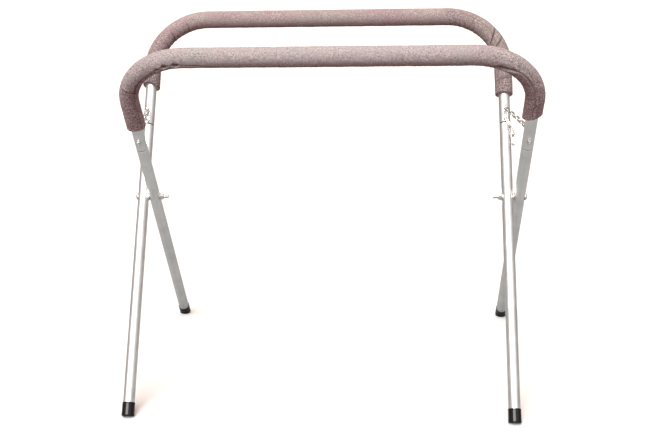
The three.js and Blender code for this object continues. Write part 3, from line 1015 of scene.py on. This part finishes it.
def eye_shank_profile(face):
    """The threaded shank, the collar against the tube, and the neck up to the eye."""
    edge = 0.3 * MM
    tip = face + EYE_NUT_THICKNESS + EYE_END_LENGTH
    start = 0.5 * MM - tip
    thread_end = 2 * MM - face
    collar_end = face + EYE_COLLAR_THICKNESS
    neck = EYE_OUT - EYE_RING_RADIUS
    profile = [(BOLT_AXIS, -tip), (EYE_SHANK_RADIUS - 0.7 * MM, -tip)]
    profile += [(EYE_SHANK_RADIUS - edge, start)]
    profile += thread_profile(EYE_SHANK_RADIUS, start, thread_end, *EYE_THREAD)
    profile += [(EYE_SHANK_RADIUS, thread_end + 1 * MM), (EYE_SHANK_RADIUS, face - 0.1 * MM)]
    profile += [(EYE_COLLAR_RADIUS - edge, face), (EYE_COLLAR_RADIUS, face + edge)]
    profile += [(EYE_COLLAR_RADIUS, collar_end - edge), (EYE_COLLAR_RADIUS - edge, collar_end)]
    profile += [(EYE_WIRE_RADIUS + 0.5 * MM, collar_end), (EYE_WIRE_RADIUS, collar_end + 1 * MM)]
    profile += [(EYE_WIRE_RADIUS, neck), (BOLT_AXIS, neck + 0.5 * MM)]
    return profile


def eye_bolt(prefix, label):
    """A bent-wire eye on the frame's -Y side, its shank through the tube and a nut behind."""
    face = TUBE_RADIUS + GAP
    name = f"{prefix}_eye_bolt_{label}"
    bolt = turned(f"{name}_threaded", eye_shank_profile(face), PLATED, 40)
    bolt.data.transform(Matrix.Rotation(math.pi / 2, 4, "X"))
    path = []
    for i in range(EYE_STEPS):
        angle = 2 * math.pi * i / EYE_STEPS
        y = -EYE_OUT + EYE_RING_RADIUS * math.cos(angle)
        z = EYE_RING_RADIUS * math.sin(angle)
        tangent = Vector((0, -math.sin(angle), math.cos(angle)))
        path.append((Vector((0, y, z)), tangent, Vector((1, 0, 0))))
    bm = bmesh.new()
    bm.from_mesh(bolt.data)
    round_wire(bm, path, [EYE_WIRE_RADIUS] * EYE_STEPS, 18)
    bmesh.ops.recalc_face_normals(bm, faces=bm.faces)
    bm.to_mesh(bolt.data)
    bm.free()
    bolt.data.shade_smooth()
    bolt.data.set_sharp_from_angle(angle=math.radians(40))
    matrix = leg_matrix(prefix, label, EYE_ABOVE_PIVOT)
    place_piece(bolt, matrix, f"{prefix}_frame", name)

    node = f"{prefix}_eye_nut_{label}"
    bore = EYE_SHANK_RADIUS + NUT_CLEARANCE
    nut = hex_nut(f"{node}_hex", EYE_NUT_ACROSS, bore, EYE_NUT_THICKNESS)
    lie = Matrix.Rotation(-math.pi / 2, 4, "X")
    nut.data.transform(Matrix.Translation((0, face, 0)) @ lie)
    place_piece(nut, matrix, f"{prefix}_frame", node)


# ---------- chain ----------

def link_axes(points):
    """A link's centre and its long, wide and thin directions, from its own points."""
    centre = sum(points, Vector()) / len(points)
    spread = Matrix(((0, 0, 0), (0, 0, 0), (0, 0, 0)))
    for point in points:
        d = point - centre
        for row in range(3):
            for column in range(3):
                spread[row][column] += d[row] * d[column]
    vectors = np.linalg.eigh(np.array([list(row) for row in spread]))[1]
    thin, wide, long = (Vector([float(c) for c in vectors[:, i]]) for i in range(3))
    return centre, long.normalized(), wide.normalized(), thin.normalized()


def chain_link(node, body):
    """A round-wire link with a swollen butt weld on one side."""
    points = [vertex.co for vertex in frame["nodes"][node].data.vertices]
    centre, long, wide, thin = link_axes(points)
    half_long = max((p - centre).dot(long) for p in points)
    half_wide = max((p - centre).dot(wide) for p in points)
    wire = max((p - centre).dot(thin) for p in points)
    radius = half_wide - wire
    straight = half_long - wire - radius
    path = []
    for end in (1, -1):
        for i in range(LINK_BEND_STEPS + 1):
            angle = math.pi * i / LINK_BEND_STEPS
            aside = end * (math.cos(angle) * wide + math.sin(angle) * long)
            point = centre + end * straight * long + radius * aside
            tangent = end * (-math.sin(angle) * wide + math.cos(angle) * long)
            path.append((point, tangent, aside))
        for i in range(1, LINK_SIDE_STEPS):
            share = i / LINK_SIDE_STEPS
            point = centre + end * straight * (1 - 2 * share) * long - end * radius * wide
            path.append((point, -end * long, -end * wide))
    weld = centre + radius * wide
    radii = []
    for point, _tangent, _aside in path:
        near = (point - weld).length
        radii.append(wire * (1 + WELD_SWELL * math.exp(-((near / WELD_LENGTH) ** 2))))
    bm = bmesh.new()
    round_wire(bm, path, radii, 16)
    link = new_object(f"{node}_wire", bm, CHAIN)
    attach(link, body)
    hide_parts(node)


# ---------- build ----------

def build_object():
    for prefix in ("rear", "front"):
        top_tube(prefix)
        centre_pad(prefix)
        for label in ("left", "right"):
            lower_leg(prefix, label)
            foot_cap(prefix, label)
            end_pad(prefix, label)
            eye_bolt(prefix, label)
    for label in ("left", "right"):
        pivot_set(label)
    for body, nodes in frame["record"]["behaviour"]["bodies"].items():
        for node in nodes:
            if node.startswith("chain_"):
                chain_link(node, body)


build_object()


# ---------- stage, light and camera ----------

def build_floor():
    """A square just below the caps, so that their worn soles don't lie in its plane."""
    half, drop = 30, 0.5 * MM
    corners = ((-half, -half), (half, -half), (half, half), (-half, half))
    bm = bmesh.new()
    bm.faces.new([bm.verts.new((x, y, -drop)) for x, y in corners])
    floor = new_object("floor", bm, floor_material())


def sun(name, azimuth, elevation, spread, strength, colour):
    """Soft light from far away. Azimuth 0 shines from the front and 90 from the right."""
    data = bpy.data.lights.new(name, "SUN")
    data.angle = math.radians(spread)
    data.energy = strength
    data.color = colour
    light = bpy.data.objects.new(name, data)
    a, e = math.radians(azimuth), math.radians(elevation)
    towards = Vector((math.sin(a) * math.cos(e), -math.cos(a) * math.cos(e), math.sin(e)))
    light.rotation_euler = (-towards).to_track_quat("-Z", "Y").to_euler()
    bpy.context.scene.collection.objects.link(light)


def build_world():
    """A dim room that is brighter overhead, with a pale backdrop.

    Metal mirrors a room with more contrast.
    """
    world = bpy.data.worlds.new("studio")
    world.use_nodes = True
    tree = world.node_tree
    coords = tree.nodes.new("ShaderNodeTexCoord")
    split = tree.nodes.new("ShaderNodeSeparateXYZ")
    path = tree.nodes.new("ShaderNodeLightPath")
    tree.links.new(coords.outputs["Generated"], split.inputs[0])

    def gradient(low, high):
        ramp = tree.nodes.new("ShaderNodeValToRGB")
        ramp.color_ramp.elements[0].color = (*low, 1)
        ramp.color_ramp.elements[1].color = (*high, 1)
        tree.links.new(split.outputs["Z"], ramp.inputs["Fac"])
        return ramp.outputs["Color"]

    def choose(factor, off):
        node = tree.nodes.new("ShaderNodeMix")
        node.data_type = "RGBA"
        tree.links.new(path.outputs[factor], node.inputs[0])
        tree.links.new(off, node.inputs[6])
        return node

    mirrored = choose("Is Glossy Ray", gradient(ROOM_LOW, ROOM_HIGH))
    tree.links.new(gradient(MIRRORED_LOW, MIRRORED_HIGH), mirrored.inputs[7])
    seen = choose("Is Camera Ray", mirrored.outputs[2])
    seen.inputs[7].default_value = (*BACKDROP, 1)
    tree.links.new(seen.outputs[2], tree.nodes["Background"].inputs["Color"])
    bpy.context.scene.world = world


def build_lights():
    build_world()
    sun("key", -18, 49, 44, 3.75, (1.0, 0.985, 0.98))
    sun("fill", 35, 30, 60, 0.25, (0.96, 0.98, 1.0))
    sun("rim", 170, 60, 40, 0.95, (1.0, 0.64, 0.46))


def build_camera():
    """About chest height, in front of the stand, looking a little down."""
    pitch, yaw, roll = (math.radians(angle) for angle in (17.69, -5.19, -1.46))
    forward = Vector((
        math.sin(yaw) * math.cos(pitch),
        math.cos(yaw) * math.cos(pitch),
        -math.sin(pitch),
    ))
    level = Vector((math.cos(yaw), -math.sin(yaw), 0))
    upright = level.cross(forward)
    right = level * math.cos(roll) + upright * math.sin(roll)
    up = upright * math.cos(roll) - level * math.sin(roll)
    target = Vector((-0.099, 0, 0.3686))
    distance = 2.611
    data = bpy.data.cameras.new("camera")
    data.sensor_width = 36
    data.lens = 62.92
    data.shift_x = 0.06
    data.shift_y = -0.0035
    data.clip_end = 100
    camera = bpy.data.objects.new("camera", data)
    rotation = Matrix((right, up, -forward)).transposed().to_4x4()
    camera.matrix_world = Matrix.Translation(target - forward * distance) @ rotation
    bpy.context.scene.collection.objects.link(camera)
    bpy.context.scene.camera = camera


build_floor()
build_lights()
build_camera()
bpy.context.scene.view_settings.view_transform = "Standard"

bpy.context.view_layer.update()
